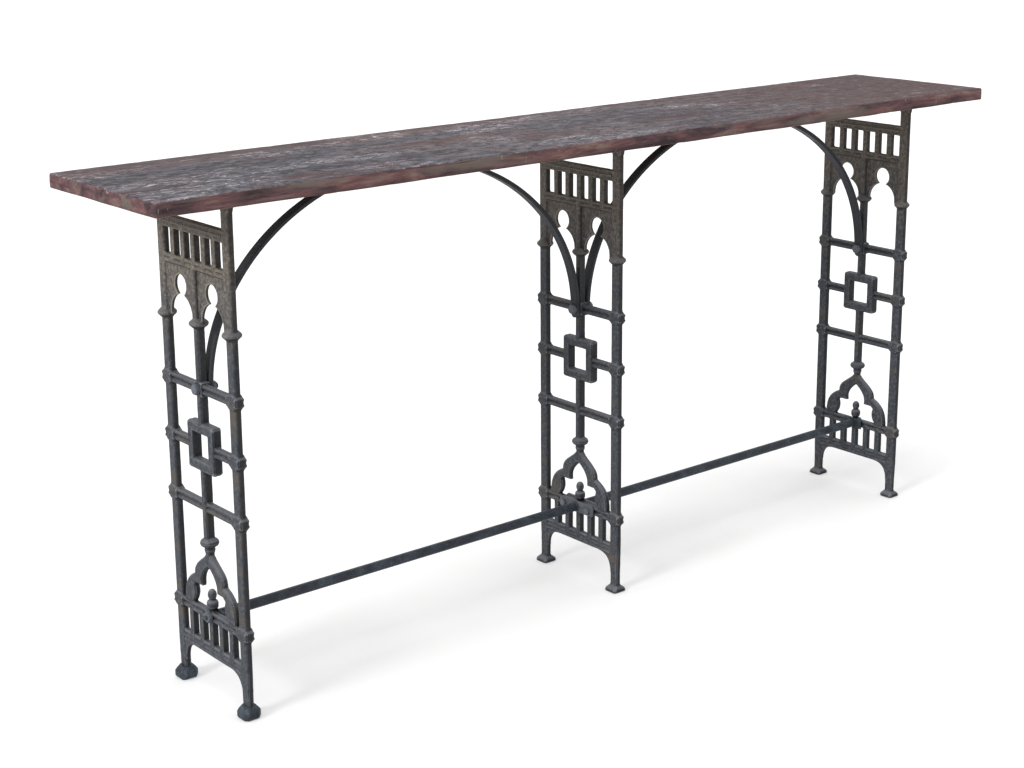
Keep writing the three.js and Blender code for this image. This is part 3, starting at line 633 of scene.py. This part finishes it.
# ------------------------------------------------------------------ braces
def draw_brace(node):
    """Flat bar bent in a quarter turn, rounded at its lower end and straight under the slab."""
    low, high = box_mm(node)
    outward = 1 if node.endswith("rightward") else -1
    root, tip = (low.x, high.x) if outward > 0 else (high.x, low.x)
    reach, half, wide = abs(tip - root), BRACE_THICK / 2, BRACE_WIDE / 2
    start_z, top_z = BOLT_Z - 3, high.z - half
    run = (reach - BRACE_FLAT - half) / (1 - math.cos(BRACE_TURN))
    rise = (top_z - start_z) / math.sin(BRACE_TURN)
    steps = 56
    drops = (9.9, 9, 7.5, 5, 2.5)
    path = [(half, start_z - 4 - d, math.sqrt(max(0.8, wide ** 2 - d * d))) for d in drops]
    path += [(half, start_z - 4, wide), (half, start_z, wide)]
    for i in range(1, steps):
        bend = BRACE_TURN * i / steps
        path.append((half + run * (1 - math.cos(bend)), start_z + rise * math.sin(bend), wide))
    path += [(reach - BRACE_FLAT, top_z, wide), (reach, top_z, wide)]
    rings = []
    for i, (x, z, across) in enumerate(path):
        before, after = path[max(i - 1, 0)], path[min(i + 1, len(path) - 1)]
        along = Vector((after[0] - before[0], after[1] - before[1])).normalized()
        if i >= len(path) - 2:
            along = Vector((1, 0))
        section = eight(half, across, min(1.6, across / 2))
        ring = [(root + outward * (x - along.y * u), v, z + along.x * u) for u, v in section]
        rings.append(ring if outward > 0 else ring[::-1])
    s = Shells()
    s.loft(rings[::-1])
    return s


for node in ("brace_left_rightward", "brace_middle_leftward", "brace_middle_rightward", "brace_right_leftward"):
    bar = to_object("bar_" + node, draw_brace(node))
    finish_piece(bar, [node], STEEL, 40)


# ------------------------------------------------------------------ stretcher rods
def draw_rod(node):
    """A rod from its flange to its thread, drawn towards +X and mirrored on the left."""
    side = -1 if node.endswith("left") else 1
    low, high = box_mm(node)
    inner = (high.x if side < 0 else low.x) * side
    outer = (low.x if side < 0 else high.x) * side
    end, r = outer - ROD_END, ROD_RADIUS
    length, steps = end - inner - 5, 40
    s = Shells()
    shaft = [(r, inner + 4 + length * i / steps) for i in range(steps + 1)]
    s.lathe_x([(r - 1, inner + 2)] + shaft + [(r - 0.8, end)], 0, RAIL_Z)
    weld = [(r, 4.6), (r + 2, 5), (r + 1.6, 6.6), (r + 0.8, 8), (r - 0.4, 10)]
    s.lathe_x([(radius, inner + x) for radius, x in weld], 0, RAIL_Z, 28)
    turns = int((outer - end + 1) / ROD_THREAD)
    thread = [(4.5 if i % 2 else 4.0, end - 2 + i * ROD_THREAD) for i in range(turns)]
    s.lathe_x([(3, end - 3)] + thread + [(3.4, outer)], 0, RAIL_Z, 16)
    s.slab_x(rectangle(0, RAIL_Z, high.y - low.y, high.z - low.z, 3.5), 2.5, 0.8, inner + 2.5)
    if side < 0:
        s.points = [Vector((-p.x, p.y, p.z)) for p in s.points]
        s.faces = [f[::-1] for f in s.faces]
    return s


for node in ("stretcher_rod_left", "stretcher_rod_right"):
    finish_piece(to_object("tie_" + node, draw_rod(node)), [node], ROUND_STEEL, 45)


# ------------------------------------------------------------------ plates, washers and fasteners
BRACE_BOLT, FLANGE_BOLT = (8.5, 7, 5), (6.5, 5.5, 3.5)


def hexagon(s, y, z, x0, x1, flats, chamfer_at_end):
    """A hexagon along X, with its corners chamfered at one end."""
    def ring(x, corner, mid):
        radii = (corner, mid) * 6
        return [(x, y + r * math.cos(t), z + r * math.sin(t)) for t, r in zip(turn(12), radii)]

    corner, mid = flats / math.cos(math.pi / 6), flats
    chamfered = mid * 0.96, mid * 0.94
    if chamfer_at_end:
        s.loft([ring(x0, corner, mid), ring(x1 - HEX_CHAMFER, corner, mid), ring(x1, *chamfered)])
    else:
        s.loft([ring(x0, *chamfered), ring(x0 + HEX_CHAMFER, corner, mid), ring(x1, corner, mid)])


def draw_bolt(node):
    """A hexagonal head towards -X and a shank whose end is threaded."""
    low, high = box_mm(node)
    at = middle(node)
    flats, thick, shank = BRACE_BOLT if "brace" in node else FLANGE_BOLT
    s = Shells()
    hexagon(s, at.y, at.z, low.x, low.x + thick, flats, False)
    shaft = [(shank - 0.3, low.x + thick - 1), (shank - 0.3, high.x - 6)]
    thread = [(shank if i % 2 else shank - 0.5, high.x - 5 + i * THREAD_STEP) for i in range(8)]
    s.lathe_x(shaft + thread + [(shank - 1.2, high.x)], at.y, at.z, 16)
    return s


def draw_nut(node):
    low, high = box_mm(node)
    at = middle(node)
    s = Shells()
    flats = FLANGE_BOLT[0] if "flange" in node else BRACE_BOLT[0]
    hexagon(s, at.y, at.z, low.x, high.x, flats, node != "rod_nut_left")
    return s


def draw_plate(node):
    low, high = box_mm(node)
    s, at, size = Shells(), middle(node), high - low
    s.block(at.x, at.y, at.z, size.x, size.y, size.z, 0.9)
    return s


def draw_screw(node):
    """A pan-headed screw with its head below and a pointed shank above."""
    low, high = box_mm(node)
    s, at, long = Shells(), middle(node), high.z - low.z
    head = [(1, 0), (2.2, 0.1), (4.2, 0.9), (5, 2.2), (5, 3)]
    s.lathe_z(head + [(2.4, 3.1), (2.4, long - 4), (0.4, long)], at.y, low.z, at.x, 16)
    return s


for node in sorted(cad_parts):
    if node.startswith(("brace_bolt", "flange_bolt")):
        finish_piece(to_object("hex_" + node, draw_bolt(node)), [node], BOLTS, 30)
    elif node.startswith(("brace_nut", "flange_nut", "rod_nut")):
        finish_piece(to_object("hex_" + node, draw_nut(node)), [node], BOLTS, 30)
    elif node.startswith(("top_plate", "rod_washer")):
        made = cast(to_object("steel_" + node, draw_plate(node)), voxel=1.0, smooth=1, rough=0.15)
        finish_piece(made, [node], ROUND_STEEL if "washer" in node else STEEL)
    elif node.startswith(("plate_screw", "brace_screw")):
        finish_piece(to_object("pan_" + node, draw_screw(node)), [node], BOLTS, 40)


# ------------------------------------------------------------------ slab
def slab_section(half_y, high):
    """The slab's rounded outline across it, with enough points for the dents."""
    soft = SLAB_ROUND
    flat, wall = 2 * half_y - 2 * soft, high - 2 * soft

    def corner(y, z, start):
        angles = [math.radians(start + a) for a in (0, 30, 60, 90)]
        return [(y + soft * math.cos(a), z + soft * math.sin(a)) for a in angles]

    section = corner(half_y - soft, high - soft, 0)
    section += [(half_y - soft - flat * i / 70, high) for i in range(1, 70)]
    section += corner(-half_y + soft, high - soft, 90)
    section += [(-half_y, high - soft - wall * i / 5) for i in range(1, 5)]
    section += corner(-half_y + soft, soft, 180)
    section += [(-half_y + soft + flat * i / 30, 0) for i in range(1, 30)]
    section += corner(half_y - soft, soft, 270)
    return section + [(half_y, soft + wall * i / 5) for i in range(1, 5)]


def hum(x, y, z, size):
    return noise.noise(Vector((x, y, z))) * size


def worn(x, y, z, shrink, half_y, high):
    """Where a point of the section goes at x: first by the rounded end, then by waves, dents and chips."""
    half_z = high / 2
    y1, z1 = y * (1 - shrink / half_y), (z - half_z) * (1 - shrink / half_z)
    back = hum(x * 0.0022, 3.1, 0, 3) + hum(x * 0.02, 7.7, 0, 0.8)
    front = hum(x * 0.003, 9.4, 0, 1.6) + hum(x * 0.03, 1.7, 0, 0.6)
    side = y1 / half_y
    y2 = y1 + (back - 2.0) * max(side, 0) ** 3 + front * max(-side, 0) ** 3
    lift = hum(x * 0.006, y1 * 0.012, 2.0, 0.7)
    lift -= 0.5 * max(0.0, hum(x * 0.05, y1 * 0.05, 5.0, 1) - 0.25)
    under = hum(x * 0.012, y1 * 0.01, 8.0, 1)
    z2 = z1 + (lift if z1 > 0 else under * 0.9 + 0.5)
    if abs(side) > 0.97 and abs(z1) > half_z - 5:
        chip = max(0.0, hum(x * 0.06, y * 0.2, z * 0.2 + 11, 1) - 0.3) * 2.2
        y2 -= math.copysign(chip, y2)
        z2 -= math.copysign(chip * 0.6, z1)
    return y1, z1, y2, z2


def draw_slab():
    """The slab as sections along it, with rounded ends that wave a little."""
    half_y, high = SLAB_HIGH.y, SLAB_HIGH.z - SLAB_LOW.z
    length = SLAB_HIGH.x - SLAB_LOW.x
    rounding, margin, steps = [(0, 2.2), (0.6, 1.0), (1.6, 0.3), (3, 0)], 6, 320
    places = rounding + [(margin + (length - 2 * margin) * k / steps, 0) for k in range(steps + 1)]
    places += [(length - d, shrink) for d, shrink in rounding[::-1]]
    section, rings = slab_section(half_y, high), []
    for d, shrink in places:
        x = SLAB_LOW.x + d
        at_end = d < 10 or d > length - 10
        ring = []
        for y, z in section:
            y1, z1, y2, z2 = worn(x, y, z, shrink, half_y, high)
            wave = hum(y1 * 0.012, z1 * 0.03, x * 0.001 + 4, 1.4) if at_end else 0
            ring.append((x + wave, y2, z2 + SLAB_LOW.z + high / 2))
        rings.append(ring)
    s = Shells()
    s.loft(rings)
    return s


slab = to_object("painted_slab", draw_slab())
finish_piece(slab, ["tabletop"], WOOD, 50)


# ------------------------------------------------------------------ floor, light and camera
FLOOR_REACH, FLOOR_Z, FLOOR_GLOW = 40, -0.0008, 0.33
SKY_HEIGHTS, SKY_LIGHT = (0.14, 0.6), (1.0, 1.5)


def floor_material():
    """Pale grey with a little light of its own, so that it is white and its shadows stay pale."""
    g = Graph("pale_floor")
    tint = g.ramp(g.noise((3, 3, 3), 3, 0.5), [(0.3, "#adadad"), (0.7, "#b1b1b1")])
    normal = g.bump(g.noise((90, 90, 90), 3), 0.02, 0.0005)
    shader = g.end(tint, 0.9, normal, 0.0)
    shader.inputs["Emission Color"].default_value = (1, 1, 1, 1)
    shader.inputs["Emission Strength"].default_value = FLOOR_GLOW
    return g.material


floor_mesh = bpy.data.meshes.new("floor")
corners = [(u * FLOOR_REACH, v * FLOOR_REACH, FLOOR_Z) for u, v in ((-1, -1), (1, -1), (1, 1), (-1, 1))]
floor_mesh.from_pydata(corners, [], [(0, 1, 2, 3)])
floor = bpy.data.objects.new("floor", floor_mesh)
bpy.context.scene.collection.objects.link(floor)
floor_mesh.materials.append(floor_material())

world = bpy.data.worlds.new("studio")
bpy.context.scene.world = world
world.use_nodes = True
sky = next(n for n in world.node_tree.nodes if n.type == "BACKGROUND")
sky.inputs["Strength"].default_value = 1.0
place = world.node_tree.nodes.new("ShaderNodeTexCoord")
split = world.node_tree.nodes.new("ShaderNodeSeparateXYZ")
fade = world.node_tree.nodes.new("ShaderNodeMapRange")
fade.interpolation_type = "SMOOTHSTEP"
for socket, value in zip(("From Min", "From Max", "To Min", "To Max"), SKY_HEIGHTS + SKY_LIGHT):
    fade.inputs[socket].default_value = value
world.node_tree.links.new(place.outputs["Generated"], split.inputs[0])
world.node_tree.links.new(split.outputs[2], fade.inputs["Value"])
world.node_tree.links.new(fade.outputs[0], sky.inputs["Color"])


def sun(name, towards, strength, spread):
    """A distant lamp whose light travels along towards."""
    data = bpy.data.lights.new(name, "SUN")
    data.energy, data.angle = strength, math.radians(spread)
    lamp = bpy.data.objects.new(name, data)
    bpy.context.scene.collection.objects.link(lamp)
    lamp.rotation_euler = Vector(towards).to_track_quat("-Z", "Y").to_euler()


sun("key", (1.0, 0.1, -0.5), 2.6, 16)
sun("overhead", (0.1, 0.05, -1.0), 0.8, 24)

bpy.context.scene.view_settings.view_transform = "Standard"
bpy.context.scene.view_settings.look = "None"

CAMERA_AT = Vector((-2.2555, -2.5322, 1.3913))
YAW, PITCH, ROLL = 0.6890, 0.2420, -0.0074
camera_data = bpy.data.cameras.new("camera")
camera = bpy.data.objects.new("camera", camera_data)
bpy.context.scene.collection.objects.link(camera)
bpy.context.scene.camera = camera
forward = Vector((math.cos(PITCH) * math.sin(YAW), math.cos(PITCH) * math.cos(YAW), -math.sin(PITCH)))
level = Vector((math.cos(YAW), -math.sin(YAW), 0))
above = level.cross(forward)
right = level * math.cos(ROLL) + above * math.sin(ROLL)
top = above * math.cos(ROLL) - level * math.sin(ROLL)
turned = Matrix((right, top, -forward)).transposed().to_4x4()
camera.matrix_world = Matrix.Translation(CAMERA_AT) @ turned
camera_data.sensor_width = 36
camera_data.lens = 64.08
camera_data.shift_y = -0.078
camera_data.clip_end = 200
